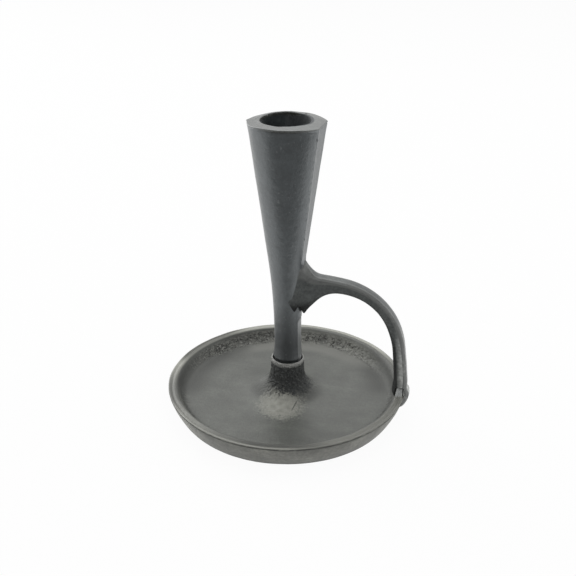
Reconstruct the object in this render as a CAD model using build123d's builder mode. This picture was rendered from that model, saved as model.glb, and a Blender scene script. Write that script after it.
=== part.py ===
"""Cast-iron chamberstick with a finger loop.

A round drip tray carries a cup on its middle boss. A horn-shaped candle stem stands in the cup and is drawn
down by one screw from below. A strap-shaped finger loop is pegged to the stem and straddles the tray's rim.

Frame: origin at the centre of the tray's underside, +Z up, the finger loop towards +X. Lengths in millimetres.
"""
import os
from math import cos, radians, sin, tan

from build123d import *

os.makedirs("parts", exist_ok=True)

# Fits between the pieces
spigot_clearance = 0.25
braze_gap = 0.1
peg_clearance = 0.1
fork_clearance = 0.2
screw_clearance = 0.3
thread_clearance = 0.05
washer_clearance = 0.2
head_clearance = 1.0
cut_overrun = 1.0

# Drip tray
rim_diameter = 116.0
rim_height = 12.5
rim_width = 3.6
rim_band_height = 1.5
rim_outer_round = 1.0
rim_inner_round = 0.7
wall_bulge = 0.5
wall_flare = 5.6
wall_run = 7.7
foot_ring_width = 7.0
foot_round = 0.7
floor_height = 6.8
floor_thickness = 3.8
dish_diameter = 56.0
dish_rise = 0.6

# Boss and cup in the middle of the tray
boss_flare_diameter = 32.4
boss_neck_diameter = 18.8
boss_neck_height = 14.8
cup_height = 25.3
cup_diameter = 14.0
cup_depth = 4.6
cup_wall = 1.2
cup_lip_round = 0.5
boss_web = 9.0

# Raised pad on the rim under the finger loop
pad_height = 2.2
pad_top_length = 6.0
pad_flank_run = 4.6
pad_inset = 0.6

# Candle stem, with the heights of its foot, waist and taper counted up from one another
stem_height = 143.8
stem_top_diameter = 34.2
crown_drop = 0.75
top_edge_round = 0.6
socket_diameter = 22.5
socket_depth = 24.0
socket_lip_round = 0.4
taper_foot_diameter = 18.2
taper_foot_rise = 40.0
waist_diameter = 13.1
waist_rise = 12.0
stem_foot_diameter = 14.2
stem_foot_rise = 2.7
stem_foot_undercut = 1.2
thread_run_out = 2.7
parting_flat_depth = 0.35

# Finger loop's strap, and its two bends as shares of its span from the stem and of its rise above the rim
strap_width = 7.0
strap_thickness = 5.8
strap_chamfer = 1.5
strap_rise = 56.1
bend_span_shares = (0.666, 0.948)
bend_rise_shares = (0.942, 0.628)
bend_fill_share = 0.49

# Finger loop's root: runs out from the saddle's face, and heights above and below the strap's start
saddle_wall = 0.7
saddle_wrap = 59.0
saddle_peak_rise = 6.6
saddle_shoulder_rise = 0.9
saddle_notch_drop = 14.8
saddle_tip_drop = 16.3
saddle_flare_run = 8.4
web_run = 16.4
web_top_run = 5.0
web_heel_run = 5.4
web_heel_drop = 10.0
peg_diameter = 4.0
peg_depth = 4.6
peg_drop = 3.6

# Finger loop's fork: reaches past the rim's faces, and heights above and below the rim
fork_flare = 0.2
fork_chamfer = 1.3
fork_top_rise = 7.5
fork_lobe_reach = 2.1
fork_lobe_rise = 0.9
fork_lobe_drop = 7.5
fork_heel_reach = 2.4
fork_heel_drop = 1.9

# Screw and washers under the boss
thread_diameter = 6.0
screw_length = 20.0
screw_tip_chamfer = 0.6
head_diameter = 12.0
head_height = 3.6
head_round = 1.6
slot_width = 1.6
slot_depth = 1.7
washer_diameter = 12.0
washer_thickness = 1.6
washer_chamfer = 0.25
spring_washer_diameter = 10.8
spring_washer_thickness = 1.6
spring_washer_gap = 1.1
spring_washer_slant = 25.0

# Places on the tray and the cup
rim_radius = rim_diameter / 2
rim_inner_radius = rim_radius - rim_width
rim_middle_radius = rim_radius - rim_width / 2
foot_diameter = rim_diameter - 2 * wall_flare
foot_radius = foot_diameter / 2
floor_diameter = rim_diameter - 2 * (rim_width + wall_run)
floor_radius = floor_diameter / 2
pad_top = rim_height + pad_height
cup_outer_radius = cup_diameter / 2 + cup_wall
cup_floor = cup_height - cup_depth

# Places of the screw and its washers, stacked down from their seat under the boss
screw_seat = cup_floor - boss_web
head_top = screw_seat - washer_thickness - spring_washer_thickness
screw_tip = head_top + screw_length
washer_hole_radius = thread_diameter / 2 + washer_clearance
head_pocket_radius = max(head_diameter, washer_diameter, spring_washer_diameter) / 2 + head_clearance

# Places on the stem
spigot_radius = cup_diameter / 2 - spigot_clearance
stem_foot_height = cup_height + stem_foot_rise
waist_height = stem_foot_height + waist_rise
taper_foot_height = waist_height + taper_foot_rise
stem_edge_height = stem_height - crown_drop
root_radius = (waist_diameter + taper_foot_diameter) / 4

# Places on the finger loop
strap_root_height = rim_height + strap_rise
saddle_peak_height = strap_root_height + saddle_peak_rise
saddle_radius = root_radius + saddle_wall
peg_height = strap_root_height - peg_drop
peg_tip = root_radius - peg_depth


def ring_edge(builder, radius, height):
    """The circular edge that runs at this radius and height round the Z axis."""
    return builder.edges().sort_by_distance((0, radius, height))[0]


def stem_outline(gap):
    """Half of the stem's outside from its foot to its top, grown by a gap, as lines in the XZ plane."""
    foot = (stem_foot_diameter / 2 + gap, stem_foot_height)
    waist = (waist_diameter / 2 + gap, waist_height)
    taper_foot = (taper_foot_diameter / 2 + gap, taper_foot_height)
    top = (stem_top_diameter / 2 + gap, stem_edge_height)
    TangentArc(waist, foot, tangent=(0, -1))
    TangentArc(waist, taper_foot, tangent=(0, 1))
    Line(taper_foot, top)
    return foot, top


def pad_block(gap):
    """The raised pad across the rim, grown by a gap, from inside the rim up to the pad's top."""
    half_top = pad_top_length / 2 + gap
    half_foot = half_top + pad_flank_run
    start = rim_inner_radius + pad_inset - gap
    end = rim_radius - pad_inset + gap
    with BuildSketch(Plane.YZ.offset(start)) as pad_section:
        with BuildLine():
            Polyline(
                (-half_foot, rim_height - pad_height),
                (half_foot, rim_height - pad_height),
                (half_foot, rim_height),
                (half_top, pad_top + gap),
                (-half_top, pad_top + gap),
                (-half_foot, rim_height),
                close=True,
            )
        make_face()
    extrude(pad_section.sketch, amount=end - start)


def bend_radius(before, corner, after):
    """The radius that rounds a corner of the strap over nearly half of its shorter run."""
    run_in = Vector(*corner) - Vector(*before)
    run_out = Vector(*after) - Vector(*corner)
    half_turn = radians(run_in.get_angle(run_out)) / 2
    return bend_fill_share * min(run_in.length, run_out.length) / tan(half_turn)


# Drip tray: one turned outline, then the cup, the screw's hole and the pocket for its head
with BuildPart() as drip_tray:
    with BuildSketch(Plane.XZ):
        with BuildLine():
            floor_edge = (floor_radius, floor_height)
            dish_edge = (dish_diameter / 2, floor_height)
            boss_flare = (boss_flare_diameter / 2, floor_height + dish_rise)
            boss_neck = (boss_neck_diameter / 2, boss_neck_height)
            recess_edge = (foot_radius - foot_ring_width, floor_height - floor_thickness)
            band_foot = (rim_radius, rim_height - rim_band_height)
            TangentArc(floor_edge, (rim_inner_radius, rim_height), tangent=(1, 0))
            Polyline((rim_inner_radius, rim_height), (rim_radius, rim_height), band_foot)
            SagittaArc(band_foot, (foot_radius, 0), wall_bulge)
            Polyline(
                (foot_radius, 0),
                (foot_radius - foot_ring_width, 0),
                recess_edge,
                (0, floor_height - floor_thickness),
                (0, cup_height),
                (cup_outer_radius, cup_height),
                boss_neck,
            )
            TangentArc(boss_flare, boss_neck, tangent=(-1, 0))
            Polyline(boss_flare, dish_edge, floor_edge)
        make_face()
    revolve(axis=Axis.Z)
    fillet(ring_edge(drip_tray, rim_radius, rim_height), rim_outer_round)
    fillet(ring_edge(drip_tray, rim_inner_radius, rim_height), rim_inner_round)
    fillet(ring_edge(drip_tray, foot_radius, 0), foot_round)
    with Locations((0, 0, cup_height)):
        CounterBoreHole(thread_diameter / 2 + screw_clearance, cup_diameter / 2, cup_depth)
    with BuildSketch(Plane.XY):
        Circle(head_pocket_radius)
    extrude(amount=screw_seat, mode=Mode.SUBTRACT)
    fillet(ring_edge(drip_tray, cup_diameter / 2, cup_height), cup_lip_round)
    fillet(ring_edge(drip_tray, cup_outer_radius, cup_height), cup_lip_round)
    pad_block(0)

drip_tray.part.label = "drip_tray"
export_step(drip_tray.part, "parts/drip_tray.step")

# Candle stem: turned horn with a crowned top, a spigot at its foot, the candle socket and the tapped hole
with BuildPart() as candle_stem:
    with BuildSketch(Plane.XZ):
        with BuildLine():
            stem_foot, stem_top = stem_outline(0)
            Polyline(
                stem_top,
                (socket_diameter / 2, stem_height),
                (0, stem_height),
                (0, cup_floor),
                (spigot_radius, cup_floor),
                (spigot_radius, stem_foot_height - stem_foot_undercut),
                stem_foot,
            )
        make_face()
    revolve(axis=Axis.Z)
    fillet(ring_edge(candle_stem, stem_top_diameter / 2, stem_edge_height), top_edge_round)
    with Locations((0, 0, stem_height)):
        Hole(socket_diameter / 2, depth=socket_depth)
    fillet(ring_edge(candle_stem, socket_diameter / 2, stem_height), socket_lip_round)
    with Locations(Plane(origin=(0, 0, cup_floor), z_dir=(0, 0, -1))):
        Hole(thread_diameter / 2 + thread_clearance, depth=screw_tip + thread_run_out - cup_floor)
    with Locations(Plane(origin=(stem_top_diameter / 2, 0, peg_height), z_dir=(1, 0, 0))):
        Hole(peg_diameter / 2 + peg_clearance, depth=stem_top_diameter / 2 - peg_tip + peg_clearance)
    # The ground flat along the parting line, on the finger loop's side above its root
    with BuildSketch(Plane.XZ):
        with BuildLine():
            taper_run = stem_edge_height - taper_foot_height
            taper_slope = (stem_top_diameter - taper_foot_diameter) / 2 / taper_run
            flat_foot = stem_top_diameter / 2 - taper_slope * (stem_edge_height - saddle_peak_height)
            Polyline(
                (flat_foot - parting_flat_depth, saddle_peak_height),
                (stem_top_diameter / 2 - parting_flat_depth, stem_edge_height),
                (stem_top_diameter / 2 - parting_flat_depth, stem_height + cut_overrun),
                (stem_top_diameter / 2 + cut_overrun, stem_height + cut_overrun),
                (stem_top_diameter / 2 + cut_overrun, saddle_peak_height),
                close=True,
            )
        make_face()
    extrude(amount=stem_top_diameter / 2, both=True, mode=Mode.SUBTRACT)

candle_stem.part.label = "candle_stem"
export_step(candle_stem.part, "parts/candle_stem.step")

# Space round the stem and round the rim that the finger loop keeps clear
with BuildPart() as stem_space:
    with BuildSketch(Plane.XZ):
        with BuildLine():
            space_foot, space_top = stem_outline(braze_gap)
            Polyline(space_top, (0, stem_edge_height), (0, stem_foot_height), space_foot)
        make_face()
    revolve(axis=Axis.Z)

with BuildPart() as rim_space:
    with BuildSketch(Plane.XZ):
        with BuildLine():
            floor_corner = (floor_radius - fork_clearance, floor_height + fork_clearance)
            inner_corner = (rim_inner_radius - fork_clearance, rim_height + fork_clearance)
            band_corner = (rim_radius + fork_clearance, rim_height - rim_band_height)
            foot_corner = (foot_radius + fork_clearance, 0)
            TangentArc(floor_corner, inner_corner, tangent=(1, 0))
            Polyline(inner_corner, (rim_radius + fork_clearance, rim_height + fork_clearance), band_corner)
            SagittaArc(band_corner, foot_corner, wall_bulge)
            Polyline(foot_corner, (floor_radius - fork_clearance, 0), floor_corner)
        make_face()
    revolve(axis=Axis.Z)
    pad_block(fork_clearance)

# The strap's middle line in its own plane: out from the stem, over two bends and down onto the rim's pad
strap_points = [(0, strap_root_height)]
for span_share, rise_share in zip(bend_span_shares, bend_rise_shares):
    strap_points.append((span_share * rim_middle_radius, rim_height + rise_share * strap_rise))
strap_points.append((rim_middle_radius, pad_top))
strap_fall = (strap_root_height - strap_points[1][1]) / strap_points[1][0]

# Root of the loop: its side outline and its flared plan outline, crossed
with BuildPart() as loop_root:
    web_reach = saddle_radius + web_run
    with BuildSketch(Plane.XZ):
        with BuildLine():
            web_end_height = strap_root_height - strap_fall * web_reach
            web_end = (web_reach, web_end_height - strap_thickness / 2)
            web_heel = (saddle_radius + web_heel_run, strap_root_height - web_heel_drop)
            web_top_reach = saddle_radius + web_top_run
            web_top = (web_top_reach, strap_root_height - strap_fall * web_top_reach + strap_thickness / 2)
            TangentArc(web_end, web_heel, tangent=(-1, strap_fall))
            Polyline(
                web_heel,
                (saddle_radius, strap_root_height - saddle_notch_drop),
                (0, strap_root_height - saddle_tip_drop),
                (0, strap_root_height + saddle_shoulder_rise),
                (saddle_radius / 2, strap_root_height + saddle_shoulder_rise),
                (saddle_radius, saddle_peak_height),
                web_top,
                (web_reach, web_end_height),
                web_end,
            )
        make_face()
    extrude(amount=saddle_radius, both=True)
    with BuildSketch(Plane.XY):
        with BuildLine():
            flare = (saddle_radius + saddle_flare_run, strap_width / 2)
            ear = (saddle_radius * cos(radians(saddle_wrap)), saddle_radius * sin(radians(saddle_wrap)))
            TangentArc(flare, ear, tangent=(-1, 0))
            Polyline(ear, (0, 0), (web_reach, 0), (web_reach, strap_width / 2), flare)
        make_face()
        mirror(about=Plane.XZ)
    extrude(amount=saddle_peak_height, mode=Mode.INTERSECT)

# Foot of the loop: a hoof whose outer lobe and inner heel reach down past the rim
with BuildPart() as loop_foot:
    with BuildSketch(Plane.XZ):
        with BuildLine():
            fork_top = rim_height + fork_top_rise
            lobe_top = (rim_middle_radius + strap_thickness / 2, fork_top)
            lobe_side = (rim_radius + fork_lobe_reach, rim_height + fork_lobe_rise)
            lobe_foot = (rim_middle_radius, rim_height - fork_lobe_drop)
            fork_corner = (rim_inner_radius, rim_height - fork_lobe_drop)
            heel_foot = (rim_inner_radius - fork_heel_reach / 2, rim_height - fork_heel_drop)
            heel_side = (rim_inner_radius - fork_heel_reach, pad_top)
            heel_top = (rim_middle_radius - strap_thickness / 2, fork_top)
            Spline(lobe_top, lobe_side, lobe_foot, tangents=((0, -1), (-1, -1)))
            Polyline(lobe_foot, fork_corner, heel_foot, heel_side, heel_top, lobe_top)
        make_face()
    extrude(amount=strap_width / 2 + fork_flare, both=True)
    chamfer(loop_foot.faces().filter_by(Axis.Y).edges(), fork_chamfer)

# Finger loop: the swept strap joined to its root and foot, cleared of the stem and the rim, with its peg
with BuildPart() as finger_loop:
    add(loop_root.part)
    add(loop_foot.part)
    with BuildLine(Plane.XZ) as strap_path:
        FilletPolyline(
            *strap_points,
            radius=[bend_radius(*strap_points[:3]), bend_radius(*strap_points[1:])],
        )
    with BuildSketch(Plane(origin=strap_path.line @ 0, x_dir=(0, 1, 0), z_dir=strap_path.line % 0)):
        strap_section = Rectangle(strap_width, strap_thickness)
        chamfer(strap_section.vertices(), strap_chamfer)
    sweep(path=strap_path.line)
    add(stem_space.part, mode=Mode.SUBTRACT)
    add(rim_space.part, mode=Mode.SUBTRACT)
    with BuildSketch(Plane.YZ.offset(peg_tip)):
        with Locations((0, peg_height)):
            Circle(peg_diameter / 2)
    extrude(amount=saddle_radius + web_top_run - peg_tip)

finger_loop.part.label = "finger_loop"
export_step(finger_loop.part, "parts/finger_loop.step")

# Plain washer against the boss, and the split spring washer under it
with BuildPart() as plain_washer:
    with BuildSketch(Plane.XY.offset(screw_seat - washer_thickness)):
        Circle(washer_diameter / 2)
        Circle(washer_hole_radius, mode=Mode.SUBTRACT)
    extrude(amount=washer_thickness)
    chamfer(ring_edge(plain_washer, washer_diameter / 2, screw_seat - washer_thickness), washer_chamfer)

plain_washer.part.label = "plain_washer"
export_step(plain_washer.part, "parts/plain_washer.step")

with BuildPart() as spring_washer:
    with BuildSketch(Plane.XY.offset(head_top)):
        Circle(spring_washer_diameter / 2)
        Circle(washer_hole_radius, mode=Mode.SUBTRACT)
    extrude(amount=spring_washer_thickness)
    split_height = head_top + spring_washer_thickness / 2
    with BuildSketch(Plane(origin=(0, 0, split_height)).rotated((spring_washer_slant, 0, 0))):
        with Locations((spring_washer_diameter / 2, 0)):
            Rectangle(spring_washer_diameter, spring_washer_gap)
    extrude(amount=spring_washer_diameter / 2, both=True, mode=Mode.SUBTRACT)

spring_washer.part.label = "spring_washer"
export_step(spring_washer.part, "parts/spring_washer.step")

# Slotted pan-head screw, head down, with its shank up through the boss into the stem
with BuildPart() as stem_screw:
    with BuildSketch(Plane.XY.offset(head_top - head_height)):
        Circle(head_diameter / 2)
    extrude(amount=head_height)
    fillet(ring_edge(stem_screw, head_diameter / 2, head_top - head_height), head_round)
    with BuildSketch(Plane.XY.offset(head_top)):
        Circle(thread_diameter / 2)
    extrude(amount=screw_length)
    chamfer(ring_edge(stem_screw, thread_diameter / 2, screw_tip), screw_tip_chamfer)
    with BuildSketch(Plane.XY.offset(head_top - head_height)):
        Rectangle(head_diameter, slot_width)
    extrude(amount=slot_depth, mode=Mode.SUBTRACT)

stem_screw.part.label = "stem_screw"
export_step(stem_screw.part, "parts/stem_screw.step")
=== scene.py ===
"""Looks of a cast iron chamberstick: tray, candle stem and finger loop, with finish, light and camera."""
from math import cos, hypot, pi, radians, sin, tan

import bmesh
import bpy
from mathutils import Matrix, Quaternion, Vector


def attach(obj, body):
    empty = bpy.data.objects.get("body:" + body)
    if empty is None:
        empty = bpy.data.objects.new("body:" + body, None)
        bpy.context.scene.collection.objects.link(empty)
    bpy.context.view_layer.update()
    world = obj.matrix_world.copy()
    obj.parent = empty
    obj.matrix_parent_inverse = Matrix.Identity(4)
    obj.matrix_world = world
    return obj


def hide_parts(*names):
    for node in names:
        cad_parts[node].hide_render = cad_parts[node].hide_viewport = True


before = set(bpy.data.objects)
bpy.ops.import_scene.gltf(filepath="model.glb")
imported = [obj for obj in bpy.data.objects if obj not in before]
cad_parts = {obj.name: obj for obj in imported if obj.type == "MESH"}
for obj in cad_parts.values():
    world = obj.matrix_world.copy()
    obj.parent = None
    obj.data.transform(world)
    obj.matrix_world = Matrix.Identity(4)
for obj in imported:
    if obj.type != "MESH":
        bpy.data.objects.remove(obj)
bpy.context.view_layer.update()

mm = 0.001

# Fineness and shading of the castings
seen_step = 0.8 * mm
rough_step = 0.4 * mm
floor_step = 1.7 * mm
hidden_step = 3.0 * mm
merge_reach = 0.01 * mm
tray_steps = 448
stem_steps = 256
stem_room_steps = 96
rim_room_steps = 256
lip_runs = 3
boss_runs = 6
rim_runs = 4
flare_runs = 14
taper_runs = 40
bend_runs = 7
loop_levels = 2
smooth_angle = radians(42)

# Drip tray, with the cup and boss at its middle
rim_radius = 58.25 * mm
rim_height = 12.5 * mm
wall_points = [(48.3, 6.8), (49.6, 7.05), (50.8, 7.7), (51.8, 8.7), (52.6, 9.9), (53.3, 11.1), (54.0, 12.0),
               (54.7, 12.45)]
rim_points = [(54.7, 12.45), (55.4, 12.55), (56.0, 12.3), (56.5, 12.1), (57.0, 12.2), (57.6, 12.42),
              (58.1, 12.28), (58.3, 11.95), (58.05, 11.65), (58.2, 11.4)]
outer_points = [(58.2, 11.4), (57.8, 10.1), (57.05, 8.1), (56.1, 6.0), (55.1, 4.0), (54.0, 2.05), (53.2, 0.9),
                (52.4, 0.0)]
lip_points = [(7.1, 25.0), (7.15, 25.4), (7.4, 25.7), (7.7, 25.65), (7.95, 25.3), (8.03, 24.7), (7.98, 23.8)]
boss_points = [(7.98, 23.8), (8.03, 22.0), (8.25, 18.4), (8.75, 15.4), (9.6, 13.2), (11.0, 11.4), (13.2, 9.7),
               (16.0, 8.55), (19.5, 7.75), (24.0, 7.15), (29.0, 6.8)]
fine_boss_count = 42
foot_ring_inner = 45.4 * mm
recess_height = 3.0 * mm
floor_height = 6.8 * mm
cup_height = 25.7 * mm
cup_radius = 7.1 * mm
cup_floor = 20.7 * mm
boss_shift = 0.45 * mm
pocket_radius = 7.0 * mm
pocket_height = 11.7 * mm
screw_hole_radius = 3.3 * mm
pad_height = 3.8 * mm
pad_half_top = 3.4 * mm
pad_half_foot = 7.4 * mm
pad_inner = 54.4 * mm
pad_outer = 57.8 * mm
pad_edge = 0.5 * mm
pad_outer_edge = 0.35 * mm
pad_root = 1.2 * mm
tray_wobble = 0.35 * mm
wall_grain = 0.8 * mm
boss_grain = 0.7 * mm
grain_lump = 1.2 * mm
tray_lump = 14 * mm

# Stretches over which the tray's shift and grain fade in or out
cup_reach = (5.5 * mm, 15 * mm)
cup_rise = (8 * mm, 14 * mm)
wall_inner_edge = (46.5 * mm, 49 * mm)
wall_outer_edge = (51 * mm, 53.5 * mm)
wall_rear = (14 * mm, 30 * mm)
boss_edge = (12 * mm, 18 * mm)
lip_width = 0.5 * mm
lip_depth = 1.4 * mm

# Room that the tray's rim takes in the loop's fork
rim_room_inner = 44.7 * mm
rim_room_edge = 11.5 * mm
rim_room_foot = 52.6 * mm
slant_share = 0.7

# Candle stem
stem_height = 143.7 * mm
stem_edge_height = 143.3 * mm
stem_top_radius = 17.7 * mm
top_round = 0.4 * mm
top_undercut = 0.15 * mm
undercut_low = 1.2 * mm
undercut_high = 0.8 * mm
top_lead = 0.3 * mm
socket_radius = 11.25 * mm
socket_floor = 119.8 * mm
socket_round = 0.5 * mm
socket_land = 1.5 * mm
taper_radius = 9.1 * mm
taper_height = 80.0 * mm
waist_radius = 6.55 * mm
waist_height = 40.0 * mm
stem_foot_radius = 7.15 * mm
stem_foot_height = 27.3 * mm
stem_flare_height = 35.0 * mm
stem_foot_undercut = 0.8 * mm
stem_foot_land = 0.5 * mm
spigot_radius = 6.6 * mm
stem_core = 5 * mm
stem_shift = 0.6 * mm
lean_low = 30 * mm
lean_high = 85 * mm
tapped_radius = 3.05 * mm
tapped_top = 31.2 * mm
flat_share = 0.91
flat_turn = radians(5)
flat_edge = 0.49
flat_run = 2 * mm
low_flat_share = 0.88
root_low = 49.0 * mm
root_high = 77.0 * mm
ridge_height = 0.8 * mm
ridge_foot = 112.0 * mm
ridge_half_width = 2.4 * mm
top_reach = 8 * mm
mouth_inner = 11.5 * mm
mouth_outer = 17 * mm
side_start = 6 * mm
mouth_skew = 12 * mm
top_lift = 0.5 * mm
top_drop = 0.45 * mm
side_drop = 0.6 * mm
front_lift = 0.35 * mm
socket_shift = 0.9 * mm
stem_wobble = 0.25 * mm
socket_wobble = 0.9 * mm
stem_lump = 11 * mm
socket_lump = 9 * mm

# Finger loop: its strap, and its root and foot as tables of place and size
strap_half_width = 3.5 * mm
strap_chamfer = 0.95 * mm
strap_crown = 0.25 * mm
strap_points = [(0.0, 68.6 * mm), (37.43 * mm, 65.35 * mm), (53.28 * mm, 47.73 * mm), (56.2 * mm, 14.7 * mm)]
strap_step = 5 * mm
strap_start = 27 * mm
strap_foot = 23.5 * mm
bend_fill_share = 0.49
root_places = (1.0, 2.4, 3.6, 4.6, 5.4, 6.1, 6.8, 7.6, 8.4, 9.0, 9.8, 10.8, 12.0, 13.6, 15.6, 18.2, 21.5,
               24.9)
root_top = [(0, 73), (5.2, 74.5), (6.6, 76), (8.6, 78.2), (9.4, 76.4), (10.4, 74.7), (12, 72.7), (13.6, 71.1),
            (15.6, 70.5)]
root_bottom = [(0, 60), (3, 56), (4.2, 53), (4.8, 52.2), (6.1, 55.8), (7.3, 53), (8.5, 50.1), (10.1, 53.0),
               (13.5, 57.1), (17, 61.2), (19.4, 62.5), (22, 63.3), (24.9, 63.53)]
root_half_width = [(0, 7.25), (2.5, 6.9), (3.4, 6.5), (4.4, 6.1), (5.2, 5.8), (6, 5.5), (7.2, 5.15),
                   (8.6, 4.75), (10.5, 4.3), (12.5, 3.9), (14.7, 3.62), (17, 3.5)]
root_top_edge = [(0, 1), (6.6, 1.2), (8.6, 4.2), (10.5, 2.8), (13.5, 1.2), (17, 0.95)]
root_top_drop = [(0, 1), (6.6, 1.2), (8.6, 4.6), (10.5, 2.8), (13.5, 1.2), (17, 0.95)]
root_bottom_edge = [(0, 1), (4.8, 0.8), (6.1, 1.5), (8.5, 3.8), (11, 3.2), (13.9, 2), (18, 0.9)]
root_bottom_rise = [(0, 1), (4.8, 0.8), (6.1, 1.0), (8.5, 4.6), (11, 3.6), (13.9, 2), (18, 0.9)]
strap_outer = [(15.6, 3.2), (20, 3.2), (28, 2.87), (36, 2.57), (45, 2.62), (50, 2.75), (53, 2.7),
               (54.3, 2.85), (55, 3.2), (55.7, 3.5)]
strap_inner = [(20, 3), (30, 2.8), (38, 2.42), (46, 2.32), (50, 2.6), (52.5, 3.0), (54, 2.95), (55.7, 2.9)]
outer_chamfer = (2, 3, 13, 14)
inner_chamfer = (6, 7, 9, 10)
outer_crease = 0.8
inner_crease = 0.5
leg_slope = 0.0884
leg_reach = 57.5 * mm
leg_start = 46 * mm
above_leg = 60
leg_inner_edge = [(14, 2.2), (24, 2.2), (36, 1.5), (50, 0.9)]
leg_inner_drop = [(14, 1.6), (18, 2), (24, 2.5), (28, 2.4), (36, 1.6), (50, 0.9)]
foot_heights = (21.5, 19.5, 17.6, 16.2, 15.3, 14.4, 13.2, 12.0, 10.5, 8.5, 6.5, 5.0)
foot_outer = [(4, 56.0), (5, 56.9), (6.5, 58.25), (8.5, 59.4), (10.5, 60.2), (12, 60.5), (13.2, 60.5),
              (14.2, 60.1), (15, 59.5), (15.8, 59.2), (19.5, 59.2), (22, 58.9), (25, 58.5)]
foot_inner = [(5, 54.4), (10.6, 53.2), (13, 52.4), (14.7, 52.1), (17.5, 52.4), (20, 52.8), (25, 52.4)]
foot_width = [(5, 4), (12, 4.2), (14.4, 4.1), (15.8, 3.55), (20, 3.5)]
foot_chamfer = 1.1 * mm
foot_side = 1.6 * mm
full_inner = 4 * mm
fork_room = 1.2 * mm
stem_bite = 0.15 * mm
rim_gap = 0.15 * mm

# Looks of the tray's zones: colour and roughness
tray_look = ((0.041, 0.044, 0.038), 0.42)
outside_look = ((0.12, 0.12, 0.106), 0.5)
# Painted light on the outside wall at the front left, where light from the left falls on it
lit_outside_look = ((0.24, 0.24, 0.214), 0.5)
# Painted contact shade at the foot of the outside wall
foot_shade_look = ((0.05, 0.05, 0.044), 0.6)
shaded_floor_look = ((0.008, 0.0085, 0.0075), 0.55)
bright_floor_look = ((0.11, 0.111, 0.1), 0.5)
# Painted shade on the floor beside the boss: its shadow and its dark reflection
flank_shade_look = ((0.016, 0.017, 0.015), 0.6)
# Pale patch before the boss: partly lighter granular iron, partly a painted highlight of the flare
pale_lit_patch_look = ((0.24, 0.24, 0.212), 0.6)
scratch_look = ((0.03, 0.03, 0.028), 0.6)
boss_look = ((0.026, 0.028, 0.029), 0.85)
boss_speck_look = ((0.06, 0.063, 0.062), 0.7)
# Painted shade darkening the foot of the inner wall, on granular iron
shaded_wall_look = ((0.012, 0.013, 0.011), 0.6)
# Painted light on the rear wall
lit_rear_wall_look = ((0.11, 0.111, 0.1), 0.6)
# More painted light on the rear wall's right part
lit_rear_right_wall_look = ((0.22, 0.222, 0.2), 0.6)
clump_look = ((0.09, 0.091, 0.084), 0.75)
wall_speck_look = ((0.17, 0.17, 0.157), 0.6)
crack_look = ((0.008, 0.008, 0.008), 0.95)
rim_look = ((0.06, 0.06, 0.053), 0.45)
front_rim_look = ((0.14, 0.14, 0.124), 0.42)
pale_rim_look = ((0.33, 0.331, 0.293), 0.42)
dull_rim_look = ((0.09, 0.09, 0.08), 0.7)
dark_rim_look = ((0.025, 0.025, 0.022), 0.6)
glint_look = ((0.2, 0.2, 0.178), 0.35)
# Painted shade in the groove under the rim's outer edge
hem_shade_look = ((0.02, 0.02, 0.018), 0.7)
# Painted highlight on the pad's lit facet
lit_pad_look = ((0.32, 0.33, 0.325), 0.4)
# Painted highlight on the rounded lip of the cup
lit_lip_look = ((0.30, 0.30, 0.288), 0.3)

# Looks of the stem's zones
stem_look = ((0.030, 0.036, 0.038), 0.28)
# Painted shade on the stem's low end above the tray
low_stem_shade_look = ((0.008, 0.010, 0.011), 0.4)
stem_fleck_look = ((0.10, 0.105, 0.105), 0.45)
flat_look = ((0.02, 0.024, 0.025), 0.42)
low_flat_look = ((0.08, 0.085, 0.085), 0.35)
# Worn edge of the flat, with a painted highlight along it
worn_lit_edge_look = ((0.11, 0.115, 0.113), 0.4)
chip_look = ((0.003, 0.003, 0.003), 0.9)
# Painted shade inside the socket
socket_shade_look = ((0.008, 0.009, 0.010), 0.9)
top_look = ((0.016, 0.015, 0.008), 0.4)
stem_sheen = 0.15
stem_sheen_roughness = 0.35

# Looks of the loop's zones, and of the screw and washers
loop_look = ((0.062, 0.067, 0.065), 0.42)
# Painted light on the leg's lit outer side
lit_leg_look = ((0.44, 0.448, 0.43), 0.45)
# Painted shade on the leg's inner chamfer
shaded_chamfer_look = ((0.012, 0.013, 0.012), 0.8)
# Painted shade in the hollow under the loop's root
hollow_shade_look = ((0.008, 0.008, 0.008), 0.9)
loop_fleck_look = ((0.08, 0.084, 0.084), 0.45)
worn_chamfer_look = ((0.12, 0.123, 0.118), 0.4)
zinc_look = ((0.55, 0.56, 0.57), 0.4)

# Studio and camera
studio_middle = (0, 0, 0.06)
floor_size = 6
floor_shade = 0.9
floor_glow_share = 0.95
world_light = 0.3
world_seen = 1.0
camera_place = (0.0722, -0.3690, 0.24494)
camera_azimuth = radians(11)
camera_pitch = radians(25.85)
camera_roll = radians(0.23)
camera_lens = 55.3
camera_sensor = 36


def arc(start, end, bulge, count):
    """Points after start along an arc to end, whose middle stands off the chord by bulge to its right."""
    dx, dz = end[0] - start[0], end[1] - start[1]
    chord = hypot(dx, dz)
    radius = (chord * chord / 4 + bulge * bulge) / (2 * bulge)
    mid_x, mid_z = (start[0] + end[0]) / 2, (start[1] + end[1]) / 2
    right = (dz / chord, -dx / chord)
    centre = (mid_x + right[0] * (bulge - radius), mid_z + right[1] * (bulge - radius))
    first = Vector((start[0] - centre[0], start[1] - centre[1]))
    last = Vector((end[0] - centre[0], end[1] - centre[1]))
    turn = first.angle_signed(last)
    points = []
    for step in range(1, count + 1):
        angle = -turn * step / count
        x = first.x * cos(angle) - first.y * sin(angle)
        z = first.x * sin(angle) + first.y * cos(angle)
        points.append((centre[0] + x, centre[1] + z))
    return points


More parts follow.
